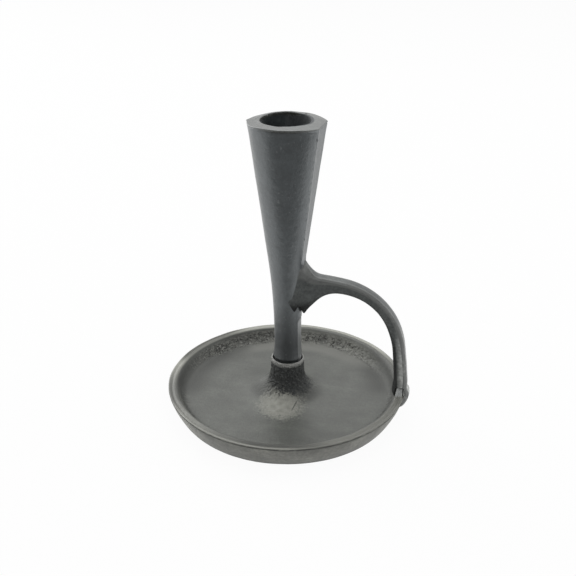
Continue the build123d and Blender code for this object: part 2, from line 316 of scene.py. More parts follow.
def tangent_arc(start, heading, end, count):
    """Points after start along the arc that leaves start along heading and passes through end."""
    chord = Vector((end[0] - start[0], end[1] - start[1]))
    angle = Vector(heading).angle_signed(chord)
    bulge = chord.length / 2 * tan(angle / 2)
    return arc(start, end, -bulge, count)


def curve_through(points, runs):
    """A smooth curve through points in mm, with each stretch between two points divided into runs."""
    result = [(points[0][0] * mm, points[0][1] * mm)]
    for index in range(len(points) - 1):
        near = [Vector(points[min(max(index + step, 0), len(points) - 1)]) for step in (-1, 0, 1, 2)]
        for run in range(1, runs + 1):
            t = run / runs
            place = near[1] * 2 + (near[2] - near[0]) * t
            place += (near[0] * 2 - near[1] * 5 + near[2] * 4 - near[3]) * t**2
            place += (near[1] * 3 - near[0] - near[2] * 3 + near[3]) * t**3
            result.append((place.x * mm / 2, place.y * mm / 2))
    return result


def rounded(before, corner, after, radius, count=4):
    """Points that round a corner of an outline, from the run before it to the run after it."""
    into = (Vector(before) - Vector(corner)).normalized()
    out = (Vector(after) - Vector(corner)).normalized()
    reach = min(radius / tan(into.angle(out) / 2), (Vector(before) - Vector(corner)).length * 0.9)
    points = []
    for step in range(count + 1):
        share = step / count
        blend = into * (reach * (1 - share) ** 2) + out * (reach * share**2)
        points.append((corner[0] + blend.x, corner[1] + blend.y))
    return points


def spread(points, step):
    """The outline with its long straight runs divided so that no run is much longer than step."""
    result = [points[0]]
    for before, after in zip(points, points[1:]):
        dx, dz = after[0] - before[0], after[1] - before[1]
        runs = max(1, round(hypot(dx, dz) / step))
        for run in range(1, runs + 1):
            share = run / runs
            result.append((before[0] + dx * share, before[1] + dz * share))
    return result


def draw_outline(name, points):
    """A line of edges in the XZ plane: a plane merged to one vertex and extruded from point to point."""
    bpy.ops.mesh.primitive_plane_add(size=mm, location=(points[0][0], 0, points[0][1]))
    piece = bpy.context.object
    piece.name = name
    piece.data.name = name
    bpy.ops.object.transform_apply(location=True, rotation=False, scale=False)
    bpy.ops.object.mode_set(mode="EDIT")
    bpy.ops.mesh.select_all(action="SELECT")
    bpy.ops.mesh.merge(type="CENTER")
    for before, after in zip(points, points[1:]):
        step = (after[0] - before[0], 0, after[1] - before[1])
        bpy.ops.mesh.extrude_region_move(TRANSFORM_OT_translate={"value": step})
    bpy.ops.object.mode_set(mode="OBJECT")
    return piece


def face_outward(piece):
    """Turns all faces of a closed piece in Edit Mode outward."""
    bpy.ops.mesh.select_all(action="SELECT")
    bpy.ops.mesh.normals_make_consistent(inside=False)
    if bmesh.from_edit_mesh(piece.data).calc_volume(signed=True) < 0:
        bpy.ops.mesh.flip_normals()


def modify(piece, name, kind, settings):
    """Puts a modifier with these settings on a piece and applies it."""
    bpy.context.view_layer.objects.active = piece
    modifier = piece.modifiers.new(name, kind)
    for setting, value in settings.items():
        setattr(modifier, setting, value)
    bpy.ops.object.modifier_apply(modifier=modifier.name)


def turn_outline(piece, steps):
    """Turns a drawn outline once round the Z axis with a Screw modifier, then closes its seam and poles."""
    modify(piece, "turn", "SCREW", {
        "axis": "Z", "angle": 2 * pi, "screw_offset": 0, "steps": steps, "render_steps": steps,
        "use_merge_vertices": True, "merge_threshold": merge_reach,
    })
    bpy.ops.object.mode_set(mode="EDIT")
    bpy.ops.mesh.select_all(action="SELECT")
    bpy.ops.mesh.remove_doubles(threshold=merge_reach)
    face_outward(piece)
    bpy.ops.object.mode_set(mode="OBJECT")


def weigh(piece, name, weight):
    """A vertex group whose weights come from each vertex's place."""
    group = piece.vertex_groups.new(name=name)
    for vertex in piece.data.vertices:
        value = weight(vertex.co)
        if value > 0:
            group.add([vertex.index], min(value, 1.0), "REPLACE")
    return name


def noise_texture(name, size, depth=2):
    """A procedural noise for pushing a surface in and out, with lumps of a given size."""
    texture = bpy.data.textures.new(name, "CLOUDS")
    texture.noise_scale = size
    texture.noise_depth = depth
    return texture


def push(piece, name, strength, texture=None, group="", direction="NORMAL", middle=0.5):
    """Moves a surface with a Displace modifier, where a vertex group asks for it."""
    modify(piece, name, "DISPLACE", {
        "strength": strength, "mid_level": middle, "direction": direction, "texture_coords": "LOCAL",
        "texture": texture, "vertex_group": group,
    })


def shift(piece, name, distance, direction, weight):
    """Moves part of a surface along an axis, as far as a weight from each vertex's place says."""
    push(piece, name, distance, None, weigh(piece, name, weight), direction, 0.0)


def ramp(value, low, high):
    """0 below low, 1 above high, smooth in between."""
    share = min(max((value - low) / (high - low), 0.0), 1.0)
    return share * share * (3 - 2 * share)


def radius_of(point):
    """Distance of a point from the stem's axis."""
    return hypot(point.x, point.y)


def between(place, table):
    """The size that a table of mm gives at a place in mm, straight from entry to entry."""
    for (low, first), (high, last) in zip(table, table[1:]):
        if place <= high:
            return (first + (last - first) * max(0.0, (place - low) / (high - low))) * mm
    return table[-1][1] * mm


def loft_bar(name, sections):
    """A closed bar through sections: a filled circle takes the first and is extruded to each next one."""
    corners = len(sections[0])
    bpy.ops.mesh.primitive_circle_add(vertices=corners, radius=mm, fill_type="NGON", location=(0, 0, 0))
    bar = bpy.context.object
    bar.name = name
    bar.data.name = name
    bpy.ops.object.mode_set(mode="EDIT")
    mesh = bmesh.from_edit_mesh(bar.data)
    for corner, point in zip(mesh.verts, sections[0]):
        corner.co = point
    bpy.ops.mesh.select_all(action="SELECT")
    for before, after in zip(sections, sections[1:]):
        bpy.ops.mesh.extrude_region()
        mesh = bmesh.from_edit_mesh(bar.data)
        for corner in [corner for corner in mesh.verts if corner.select]:
            nearest = min(range(corners), key=lambda index: (before[index] - corner.co).length)
            corner.co = after[nearest]
        bmesh.update_edit_mesh(bar.data)
    face_outward(bar)
    bpy.ops.object.mode_set(mode="OBJECT")
    return bar


def smooth_out(piece, levels):
    """Rounds a piece with a Subdivision modifier."""
    modify(piece, "smooth", "SUBSURF", {"levels": levels, "render_levels": levels})


def combine(piece, space, operation):
    """Cuts away the room of another piece or joins it on, with a Boolean modifier, and removes the other."""
    modify(piece, "combine", "BOOLEAN", {"operation": operation, "solver": "EXACT", "object": space})
    bpy.data.meshes.remove(space.data)


def finish_piece(piece, node, material):
    """Smooth shading, the material, and the CAD node that the piece stands for."""
    bpy.ops.object.select_all(action="DESELECT")
    piece.select_set(True)
    bpy.context.view_layer.objects.active = piece
    bpy.ops.object.shade_smooth_by_angle(angle=smooth_angle)
    piece.data.materials.append(material)
    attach(piece, "root")
    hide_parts(node)


def tray_outline():
    """The tray's section, from the cup's floor over boss, floor, rim and foot back to the screw's hole."""
    lip, boss = curve_through(lip_points, lip_runs), curve_through(boss_points, boss_runs)
    wall, rim, outer = (curve_through(points, rim_runs) for points in (wall_points, rim_points, outer_points))
    recess = [(foot_ring_inner, 0.0), (foot_ring_inner, recess_height), (pocket_radius, recess_height)]
    hole_top = (screw_hole_radius, cup_floor)
    pocket = [(pocket_radius, pocket_height), (screw_hole_radius, pocket_height), hole_top]
    stretches = [
        ([hole_top, (cup_radius, cup_floor)] + lip, seen_step),
        (boss[:fine_boss_count], rough_step),
        (boss[fine_boss_count:], seen_step),
        (wall, rough_step),
        (rim, rough_step),
        (outer, seen_step),
        (recess, hidden_step),
        (pocket, hidden_step),
    ]
    joins = [rough_step, seen_step, floor_step, rough_step, seen_step, hidden_step, hidden_step]
    outline = spread(*stretches[0])
    for (points, step), join in zip(stretches[1:], joins):
        outline += [point for point in spread([outline[-1]] + points[:1], join)[1:] if point != outline[-1]]
        outline += spread(points, step)[1:]
    return outline


def rim_outline():
    """The rim's section alone, standing off by a small gap, for the room it takes in the loop's fork."""
    off = slant_share * rim_gap
    outline = [(rim_room_inner, -mm), (rim_room_inner, floor_height + rim_gap)]
    outline += [(x * mm - off, z * mm + off) for x, z in wall_points]
    outline += [(rim_radius + rim_gap, rim_height + rim_gap), (rim_radius + rim_gap, rim_room_edge)]
    return outline + [(rim_room_foot + rim_gap, -mm), (rim_room_inner, -mm)]


def pad_room():
    """The room of the rim's pad in the loop's fork: a block with sloping sides."""
    low, high = rim_height - mm, rim_height + pad_height + rim_gap
    slope = (pad_half_foot - pad_half_top) / pad_height
    half_foot, half_top = pad_half_foot + fork_room + slope * mm, pad_half_top + fork_room
    ends = []
    for x in (pad_inner - pad_edge - rim_gap, pad_outer + rim_gap):
        corners = ((-half_foot, low), (half_foot, low), (half_top, high), (-half_top, high))
        ends.append([Vector((x, y, z)) for y, z in corners])
    return loft_bar("pad_room", ends)


def make_drip_tray(material):
    """The cast tray: turned outline, raised pad under the loop, and the rough cast skin of wall and boss."""
    tray = draw_outline("drip_tray_casting", tray_outline())
    turn_outline(tray, tray_steps)

    def on_pad(point):
        if point.x < 0 or point.z < rim_height - pad_root:
            return 0
        across = ramp(radius_of(point), pad_inner - pad_edge, pad_inner + pad_edge)
        across *= 1 - ramp(radius_of(point), pad_outer - pad_outer_edge, pad_outer)
        along = (pad_half_foot - abs(point.y)) / (pad_half_foot - pad_half_top)
        return across * min(max(along, 0), 1)

    def on_cup(point):
        return ramp(point.z, *cup_rise) if cup_reach[0] < radius_of(point) < cup_reach[1] else 0

    def on_wall(point):
        away = ramp(radius_of(point), *wall_inner_edge)
        away *= 1 - ramp(radius_of(point), *wall_outer_edge)
        away *= ramp(point.y, *wall_rear)
        return away if point.z > floor_height - mm else 0

    def on_boss(point):
        outside = radius_of(point) > cup_radius + lip_width
        below_lip = floor_height < point.z < cup_height - lip_depth
        return 1 - ramp(radius_of(point), *boss_edge) if outside and below_lip else 0

    shift(tray, "pad", pad_height, "Z", on_pad)
    shift(tray, "cup", boss_shift, "X", on_cup)
    push(tray, "wobble", tray_wobble, noise_texture("casting wobble", tray_lump))
    for name, depth, weight in (("wall", wall_grain, on_wall), ("boss", boss_grain, on_boss)):
        grain = noise_texture(name + " grain", grain_lump, 1)
        push(tray, name + " grain", depth, grain, weigh(tray, name, weight))
    finish_piece(tray, "drip_tray", material)


def stem_outline():
    """The stem's section, from the top of its tapped hole round its outside and down into the socket."""
    foot, waist = (stem_foot_radius, stem_foot_height), (waist_radius, waist_height)
    taper, edge = (taper_radius, taper_height), (stem_top_radius, stem_edge_height)
    flare = (waist_radius, stem_flare_height)
    lip = (socket_radius, stem_height)
    points = [(0.0, tapped_top), (tapped_radius, tapped_top), (tapped_radius, cup_floor)]
    points += [(spigot_radius, cup_floor), (spigot_radius, stem_foot_height - stem_foot_undercut)]
    points += list(reversed([waist, flare] + tangent_arc(flare, (0, -1), foot, flare_runs)))
    points += tangent_arc(waist, (0, 1), taper, taper_runs)
    slope = (edge[0] - taper[0]) / (edge[1] - taper[1])
    under = edge[1] - undercut_high
    points += [(edge[0] - slope * undercut_low, edge[1] - undercut_low)]
    points += [(edge[0] - slope * undercut_high - top_undercut, under)]
    points += rounded((edge[0], under + top_lead), edge, lip, top_round)
    points += rounded(edge, lip, (socket_radius, socket_floor), socket_round)
    points += [(socket_radius, socket_floor), (0.0, socket_floor)]
    return points


def make_candle_stem(material):
    """The cast horn: turned outline, ground flat on the loop's side, ridge opposite, and an uneven socket."""
    stem = draw_outline("candle_stem_casting", spread(stem_outline(), seen_step))
    turn_outline(stem, stem_steps)

    def outside(point):
        return radius_of(point) > socket_radius + socket_land or point.z < socket_floor - mm

    facing = Vector((cos(flat_turn), -sin(flat_turn), 0))
    for vertex in stem.data.vertices:
        spot = vertex.co.copy()
        if spot.x > 0 and spot.z > stem_foot_height and outside(spot) and radius_of(spot) > stem_core:
            above = ramp(spot.z, root_high, root_high + flat_run) * (1 - flat_share)
            below = (1 - ramp(spot.z, root_low - flat_run, root_low)) * (1 - low_flat_share)
            past = spot.dot(facing) - radius_of(spot) * (1 - above - below)
            vertex.co = spot - facing * max(0, past)

    def near_top(point):
        return ramp(point.z, stem_edge_height - top_reach, stem_edge_height - mm)

    def off_mouth(point):
        return ramp(radius_of(point), mouth_inner, mouth_outer)

    def on_low_end(point):
        return 1 - ramp(point.z, lean_low, lean_high) if radius_of(point) > stem_core else 0

    def on_back(point):
        return ramp(point.y, 0, stem_top_radius) * near_top(point)

    def on_back_mouth(point):
        return on_back(point) * (1 - off_mouth(point))

    def on_back_edge(point):
        return on_back(point) * off_mouth(point)

    def on_sides(point):
        return near_top(point) * off_mouth(point) * ramp(abs(point.x), side_start, mouth_outer)

    def on_front(point):
        return near_top(point) * off_mouth(point) * ramp(-point.y, side_start, mouth_outer)

    def in_socket(point):
        return 1.0 if not outside(point) and point.z > socket_floor else 0

    def in_back_mouth(point):
        return ramp(point.y - point.x, 0, mouth_skew) * in_socket(point)

    def in_mouth(point):
        return ramp(point.z, socket_floor, stem_edge_height) * in_socket(point)

    def on_ridge(point):
        if point.x > 0 or point.z < ridge_foot or not outside(point):
            return 0
        return max(0, 1 - abs(point.y) / ridge_half_width) * ramp(point.z, ridge_foot, stem_height)

    def on_skin(point):
        return 1.0 if outside(point) and point.z > stem_foot_height - stem_foot_land else 0

    shift(stem, "low end", stem_shift, "X", on_low_end)
    shift(stem, "back mouth", top_lift, "Z", on_back_mouth)
    shift(stem, "back edge", -top_drop, "Z", on_back_edge)
    shift(stem, "sides", -side_drop, "Z", on_sides)
    shift(stem, "front", front_lift, "Z", on_front)
    shift(stem, "mouth back", socket_shift, "Y", in_back_mouth)
    shift(stem, "mouth", -socket_shift, "X", in_mouth)
    shift(stem, "ridge", -ridge_height, "X", on_ridge)
    skin_noise = noise_texture("stem wobble", stem_lump)
    socket_noise = noise_texture("socket wobble", socket_lump)
    push(stem, "wobble", stem_wobble, skin_noise, weigh(stem, "skin", on_skin))
    push(stem, "socket", socket_wobble, socket_noise, weigh(stem, "socket", in_socket))
    finish_piece(stem, "candle_stem", material)


def bar_section(middle, outward, half_width, outer, inner, outer_edge, inner_edge):
    """Sixteen points round the strap: crown, outer chamfer, side, inner chamfer, and the other half's."""
    side_top, side_foot = outer - outer_edge[1], inner_edge[1] - inner
    rise = (side_top - side_foot) / 3
    half = [(0, outer + strap_crown), ((half_width - outer_edge[0]) / 2, outer + strap_crown / 2)]
    half += [(half_width - outer_edge[0], outer), (half_width, side_top), (half_width, side_top - rise)]
    half += [(half_width, side_foot + rise), (half_width, side_foot)]
    half += [(half_width - inner_edge[0], -inner), (0, -inner)]
    ring = [(-y, off) for y, off in half] + [(y, off) for y, off in reversed(half[1:-1])]
    return [Vector((middle[0] + outward[0] * off, y, middle[1] + outward[1] * off)) for y, off in ring]


def strap_line():
    """The strap's middle line from its root to its foot, with its two bends rounded."""
    line = [strap_points[0]]
    for before, corner, after in zip(strap_points, strap_points[1:], strap_points[2:]):
        run_in = Vector(corner) - Vector(before)
        run_out = Vector(after) - Vector(corner)
        reach = bend_fill_share * min(run_in.length, run_out.length)
        start = Vector(corner) - run_in.normalized() * reach
        end = Vector(corner) + run_out.normalized() * reach
        line += [tuple(start)] + tangent_arc(tuple(start), tuple(run_in), tuple(end), bend_runs)
    return line + [strap_points[-1]]


def root_section(place):
    """Section of the loop's root at a distance from the stem's axis, in mm."""
    fall = (strap_points[0][1] - strap_points[1][1]) / strap_points[1][0]
    middle = strap_points[0][1] - fall * place * mm
    outer = between(place, strap_outer)
    if place < root_top[-1][0]:
        outer = between(place, root_top) - middle
    inner = middle - between(place, root_bottom)
    outer_edge = (between(place, root_top_edge), between(place, root_top_drop))
    inner_edge = (between(place, root_bottom_edge), between(place, root_bottom_rise))
    half_width = between(place, root_half_width)
    return bar_section((place * mm, middle), (0, 1), half_width, outer, inner, outer_edge, inner_edge)


def foot_section(height):
    """Level section of the loop's foot at a height in mm."""
    middle = strap_points[-1][0]
    outer, inner = between(height, foot_outer) - middle, middle - between(height, foot_inner)
    drop = between(height, leg_inner_drop) * min(1, inner / full_inner)
    outer_edge = (foot_chamfer, foot_chamfer)
    inner_edge = (between(height, leg_inner_edge), min(drop, inner + outer - foot_side))
    half_width = between(height, foot_width)
    return bar_section((middle, height * mm), (1, 0), half_width, outer, inner, outer_edge, inner_edge)


def mark_edges(loop, sections):
    """A mark on the strap's outer chamfers, for the wear in its finish, and creases along all chamfers."""
    def spot(point):
        return tuple(round(value / mm, 2) for value in point)

    column = {spot(point): index for section in sections for index, point in enumerate(section)}
    columns = [column.get(spot(vertex.co)) for vertex in loop.data.vertices]
    mark = loop.data.attributes.new("edge", "FLOAT", "POINT")
    for vertex in loop.data.vertices:
        mark.data[vertex.index].value = 1.0 if columns[vertex.index] in outer_chamfer else 0.0
    crease = loop.data.attributes.new("crease_edge", "FLOAT", "EDGE")
    for edge in loop.data.edges:
        first, second = (columns[index] for index in edge.vertices)
        if first == second and first in outer_chamfer:
            crease.data[edge.index].value = outer_crease
        elif first == second and first in inner_chamfer:
            crease.data[edge.index].value = inner_crease


def make_finger_loop(material):
    """The cast strap: lofted from its saddle on the stem over two bends to its forked foot on the rim."""
    sections = [root_section(place) for place in root_places]
    line = spread(strap_line(), strap_step)
    for before, middle, after in zip(line, line[1:], line[2:]):
        if middle[0] > strap_start and middle[1] > strap_foot:
            along = (Vector(after) - Vector(before)).normalized()
            height = middle[1] / mm if middle[0] > leg_start else above_leg
            inner_edge = (between(height, leg_inner_edge), between(height, leg_inner_drop))
            outer, inner = (between(middle[0] / mm, table) for table in (strap_outer, strap_inner))
            edges = (outer, inner, (strap_chamfer, strap_chamfer), inner_edge)
            sections.append(bar_section(middle, (-along.y, along.x), strap_half_width, *edges))
    sections += [foot_section(height) for height in foot_heights]
    loop = loft_bar("finger_loop_casting", sections)
    mark_edges(loop, sections)
    smooth_out(loop, loop_levels)

    stem_room = draw_outline("stem_room", [(0.0, cup_floor)] + stem_outline()[3:-2] + [(0.0, stem_height)])
    turn_outline(stem_room, stem_room_steps)
    push(stem_room, "bite", -stem_bite, middle=0.0)
    combine(loop, stem_room, "DIFFERENCE")
    rim_room = draw_outline("rim_room", rim_outline())
    turn_outline(rim_room, rim_room_steps)
    combine(rim_room, pad_room(), "UNION")
    combine(loop, rim_room, "DIFFERENCE")
    finish_piece(loop, "finger_loop", material)


class Finish:
    """A procedural surface on Object coordinates, built up from masks and zones."""

    def __init__(self, name, look, refraction, glance_tint=(1, 1, 1)):
        tint, roughness = look
        self.material = bpy.data.materials.new(name)
        self.material.use_nodes = True
        tree = self.material.node_tree
        self.node, self.link = tree.nodes.new, tree.links.new
        self.shader = tree.nodes["Principled BSDF"]
        self.shader.inputs["IOR"].default_value = refraction
        self.shader.inputs["Specular Tint"].default_value = (*glance_tint, 1)
        self.place = self.node("ShaderNodeTexCoord").outputs["Object"]
        split = self.node("ShaderNodeSeparateXYZ")
        self.link(self.place, split.inputs[0])
        self.x, self.y, self.z = split.outputs
        self.radius = self.length(self.x, self.y)
        base = self.node("ShaderNodeRGB")
        base.outputs[0].default_value = (*tint, 1)
        self.colour = base.outputs[0]
        self.rough = roughness
        self.bump = None

    def math(self, operation, first, second=0):
        """One arithmetic step between outputs or plain numbers."""
        step = self.node("ShaderNodeMath")
        step.operation = operation
        for socket, value in zip(step.inputs, (first, second)):
            if isinstance(value, (int, float)):
                socket.default_value = value
            else:
                self.link(value, socket)
        return step.outputs[0]

    def length(self, first, second):
        """Length of the diagonal over two lengths at right angles."""
        squares = [self.math("MULTIPLY", value, value) for value in (first, second)]
        return self.math("SQRT", self.math("ADD", *squares))

    def distance(self, value, middle):
        """How far a value lies from another on either side."""
        return self.math("ABSOLUTE", self.math("SUBTRACT", value, middle))

    def slant(self, slope):
        """Y less a share of X: a coordinate across slanting lines."""
        return self.math("SUBTRACT", self.y, self.math("MULTIPLY", self.x, slope))

    def both(self, *masks):
        """The product of masks: 1 where each of them is 1."""
        product = masks[0]
        for mask in masks[1:]:
            product = self.math("MULTIPLY", product, mask)
        return product

    def band(self, value, low, high):
        """0 at low and 1 at high, smooth in between; low may be the larger."""
        step = self.node("ShaderNodeMapRange")
        step.interpolation_type = "SMOOTHSTEP"
        step.inputs["From Min"].default_value = low
        step.inputs["From Max"].default_value = high
        self.link(value, step.inputs["Value"])
        return step.outputs[0]

    def span(self, value, low, high):
        """A band whose two ends are given in mm."""
        return self.band(value, low * mm, high * mm)

    def oval(self, x, y, half_x, half_y):
        """Distance from the middle of an upright oval given in mm, 1 on its edge."""
        across = self.math("DIVIDE", self.math("SUBTRACT", self.x, x * mm), half_x * mm)
        along = self.math("DIVIDE", self.math("SUBTRACT", self.y, y * mm), half_y * mm)
        return self.length(across, along)

    def mark(self, name):
        """A mark that the mesh carries."""
        source = self.node("ShaderNodeAttribute")
        source.attribute_name = name
        return source.outputs["Fac"]

    def noise(self, lump, detail, stretch=(1, 1, 1)):
        """Noise with lumps of a given size in mm, stretched along the axes if asked."""
        scale = self.node("ShaderNodeVectorMath")
        scale.operation = "MULTIPLY"
        scale.inputs[1].default_value = stretch
        self.link(self.place, scale.inputs[0])
        cloud = self.node("ShaderNodeTexNoise")
        cloud.inputs["Scale"].default_value = 1 / (lump * mm)
        cloud.inputs["Detail"].default_value = detail
        self.link(scale.outputs[0], cloud.inputs["Vector"])
        return cloud.outputs["Fac"]

    def zone(self, look, *masks):
        """Another colour and roughness where all masks are 1."""
        tint, roughness = look
        mask = self.both(*masks)
        blend = self.node("ShaderNodeMix")
        blend.data_type = "RGBA"
        self.link(mask, blend.inputs["Factor"])
        self.link(self.colour, blend.inputs["A"])
        blend.inputs["B"].default_value = (*tint, 1)
        self.colour = blend.outputs["Result"]
        change = self.math("MULTIPLY", self.math("SUBTRACT", roughness, self.rough), mask)
        self.rough = self.math("ADD", self.rough, change)

    def vary(self, mask, darker, lighter):
        """Scales the colour from darker to lighter with a mask."""
        factor = self.math("ADD", self.math("MULTIPLY", mask, lighter - darker), darker)
        blend = self.node("ShaderNodeVectorMath")
        blend.operation = "SCALE"
        self.link(self.colour, blend.inputs[0])
        self.link(factor, blend.inputs["Scale"])
        self.colour = blend.outputs[0]

    def grain(self, height, depth):
        """Adds a fine relief, of a depth in mm, to the surface."""
        step = self.node("ShaderNodeBump")
        step.inputs["Distance"].default_value = depth * mm
        self.link(height, step.inputs["Height"])
        if self.bump:
            self.link(self.bump, step.inputs["Normal"])
        self.bump = step.outputs["Normal"]

    def done(self):
        """Joins the colour, roughness and relief to the shader."""
        self.link(self.colour, self.shader.inputs["Base Color"])
        if isinstance(self.rough, float):
            self.shader.inputs["Roughness"].default_value = self.rough
        else:
            self.link(self.rough, self.shader.inputs["Roughness"])
        if self.bump:
            self.link(self.bump, self.shader.inputs["Normal"])
        return self.material


def tray_finish():
    """Blacked iron of the tray: olive cast, granular rear wall and boss, a pale patch that is partly painted
    highlight, a pale rim, painted highlights on rim, pad and lip, and painted shade and light on the outside
    wall, floor and inner wall.
    """
    skin = Finish("tray iron", tray_look, refraction=1.72, glance_tint=(0.98, 1.0, 0.95))
    math, band, noise = skin.math, skin.band, skin.noise
    x, y, z, radius = skin.x, skin.y, skin.z, skin.radius
    span, both, zone = skin.span, skin.both, skin.zone
    outside = both(span(radius, 51.5, 52.5), span(z, 11.6, 11.2))
    zone(outside_look, outside)
    # Painted light from the left on the outside wall at the front left
    zone(lit_outside_look, outside, span(x, -22, -45), span(y, -20, -32))
    # Painted contact shade low on the outside wall, by the floor
    zone(foot_shade_look, outside, span(z, 2.6, 0.4))
    skin.vary(noise(9, 5), 0.2, 1.8)
    skin.vary(noise(5, 3, stretch=(0.2, 1, 1)), 0.4, 1.6)
    skin.vary(noise(1.4, 3), 0.3, 1.7)
    lumps = noise(1.1, 3)
    speck = band(lumps, 0.35, 0.65)
    crack = band(skin.distance(lumps, 0.47), 0.07, 0.02)
    clump = band(noise(7, 3), 0.38, 0.6)
    ragged = math("SUBTRACT", noise(2.5, 4), 0.5)
    frayed = math("ADD", ragged, math("SUBTRACT", noise(0.9, 2), 0.5))

    # Floor: shaded at the sides, bright at the rear, painted shade by the boss, a pale patch that is partly
    # painted highlight, and a scratch before it
    topside = band(z, floor_height - mm, floor_height - 0.5 * mm)
    beside = math("ABSOLUTE", x)
    shade = both(span(skin.slant(0.2), -12, 2), span(beside, 20, 42))
    zone(shaded_floor_look, shade, span(radius, 34, 47), topside)
    bright = both(span(radius, 37, 43), span(radius, 49.5, 47))
    zone(bright_floor_look, bright, span(y, 24, 36), span(x, -32, -22), topside)
    # Painted shade on the floor beside the boss: its shadow and its dark reflection
    flank = both(span(y, -18, -10), span(y, 6, -5))
    zone(flank_shade_look, flank, span(radius, 21, 15), topside)
    # Pale patch before the boss: partly lighter granular iron, partly a painted highlight of the flare
    patch = math("ADD", skin.oval(0.3, -17, 11.3, 10.2), math("MULTIPLY", frayed, 0.9))
    patch = both(band(patch, 1.2, 0.55), topside)
    zone(pale_lit_patch_look, patch)
    skin.vary(both(patch, ragged), 1.0, 2.2)
    scratch_line = math("ADD", math("MULTIPLY", y, 0.2), 10.2 * mm)
    scratch = span(skin.distance(x, scratch_line), 0.45, 0.1)
    zone(scratch_look, scratch, span(y, -20.5, -18), span(y, -12, -14), topside)

    # Boss and rear wall: granular, with specks and cracks; the wall's foot darkened by painted shade, with
    # painted light on the rear wall and more on its right part
    boss = math("ADD", skin.oval(1.7, -0.9, 9.9, 10.2), math("MULTIPLY", frayed, 0.7))
    boss = both(band(boss, 1.12, 0.9), span(z, 8, 9))
    zone(boss_look, boss)
    # The wall's foot, darkened by painted shade
    wall = math("ADD", radius, math("MULTIPLY", frayed, 7 * mm))
    wall = math("ADD", wall, math("MULTIPLY", span(y, 10, 40), 2.5 * mm))
    wall = both(span(wall, 50, 52), span(radius, 54.4, 52), topside)
    zone(shaded_wall_look, wall)
    # Painted light on the rear wall, more on its right part
    far_wall = both(wall, span(y, 5, 35), span(x, 48, 26))
    zone(lit_rear_wall_look, far_wall)
    zone(lit_rear_right_wall_look, far_wall, span(x, -24, 0))
    low_wall = both(wall, span(radius, 54.5, 52.5), span(y, 0, 30), span(x, 45, 25))
    zone(clump_look, low_wall, clump)
    zone(wall_speck_look, low_wall, band(speck, 0.7, 1.0))
    zone(crack_look, low_wall, crack, band(noise(2.2, 2), 0.42, 0.6))
    zone(boss_speck_look, boss, band(speck, 0.8, 1.0))
    rough = math("MAXIMUM", boss, low_wall)

    # Rim: pale rear, dull left, a dark front with a painted glint, and painted shade in the hem groove; then
    # the pad and the cup's lip, lit by painted highlights
    rim = both(span(radius, 53.6, 55.6), span(z, 11.3, 12.3))
    zone(rim_look, rim)
    zone(front_rim_look, rim, span(beside, 18, 35), span(skin.slant(0.35), -8, -28))
    inset = math("MULTIPLY", span(x, -12, 4), 1.8 * mm)
    inset = span(math("SUBTRACT", radius, inset), 53.8, 54.6)
    zone(pale_rim_look, rim, span(y, -20, 10), span(x, 56, 40), inset)
    zone(dull_rim_look, rim, span(x, -28, -42), span(y, 2, 14))
    front = both(rim, span(y, -28, -42), span(x, 28, 8))
    zone(dark_rim_look, front, span(radius, 57.0, 56.6), span(x, -18, -4))
    zone(glint_look, front, span(radius, 56.6, 57.1))
    # Painted shade in the groove under the rim's outer edge
    hem = both(span(z, 11.5, 11.7), span(z, 12.25, 12.05), span(radius, 57.9, 58.1))
    zone(hem_shade_look, hem, band(noise(5, 3), 0.35, 0.55))
    # Painted highlight on the pad's lit facet
    pad = band(z, rim_height + 0.5 * mm, rim_height + 1.2 * mm)
    zone(lit_pad_look, pad, span(radius, 50, 52))
    # Painted highlight on the rounded lip of the cup
    lip = band(z, cup_height - 2.6 * mm, cup_height - 1.0 * mm)
    zone(lit_lip_look, lip, band(radius, cup_radius - 0.4 * mm, cup_radius - 0.2 * mm))
    skin.grain(noise(0.7, 4), 0.09)
    skin.grain(both(rough, speck), 0.35)
    return skin.done()


def stem_finish():
    """Blacked iron of the stem: faint blue cast, painted shade on the low end and in the socket, dull flat
    with a chipped edge that is worn and carries a painted highlight.
    """
    skin = Finish("stem iron", stem_look, refraction=2.15, glance_tint=(0.94, 0.985, 1.0))
    math, both, band, span, noise, zone = skin.math, skin.both, skin.band, skin.span, skin.noise, skin.zone
    skin.vary(noise(9, 5), 0.5, 1.5)
    skin.vary(noise(1.4, 3), 0.3, 1.7)
    # Painted shade on the stem's low end above the tray
    zone(low_stem_shade_look, span(skin.z, 60, 35))
    zone(stem_fleck_look, band(noise(0.9, 2), 0.66, 0.74))
    off_edge = math("ADD", math("DIVIDE", skin.y, skin.radius), flat_edge)
    loop_side = span(skin.x, 0, 1)
    flat = both(band(off_edge, 0, 0.06), loop_side)
    above = band(skin.z, root_high, root_high + 6 * mm)
    below = band(skin.z, root_low + mm, root_low - 4 * mm)
    zone(flat_look, flat, above)
    zone(low_flat_look, flat, below)
    # Worn edge of the flat, with a painted highlight along it
    edge = both(band(math("ABSOLUTE", off_edge), 0.11, 0.04), loop_side, above)
    zone(worn_lit_edge_look, edge, band(noise(2.5, 3), 0.42, 0.6))
    zone(chip_look, edge, band(noise(2.1, 2), 0.6, 0.68))
    # Painted shade inside the socket
    inside = band(skin.z, socket_floor - mm, socket_floor)
    zone(socket_shade_look, inside, band(skin.radius, socket_radius + 1.2 * mm, socket_radius + 0.8 * mm))
    top = band(skin.z, stem_edge_height - 1.2 * mm, stem_edge_height - 0.5 * mm)
    zone(top_look, top, band(skin.radius, socket_radius, socket_radius + 0.6 * mm))
    skin.shader.inputs["Sheen Weight"].default_value = stem_sheen
    skin.shader.inputs["Sheen Roughness"].default_value = stem_sheen_roughness
    skin.grain(noise(0.7, 4), 0.12)
    skin.grain(noise(3, 3), 0.16)
    return skin.done()


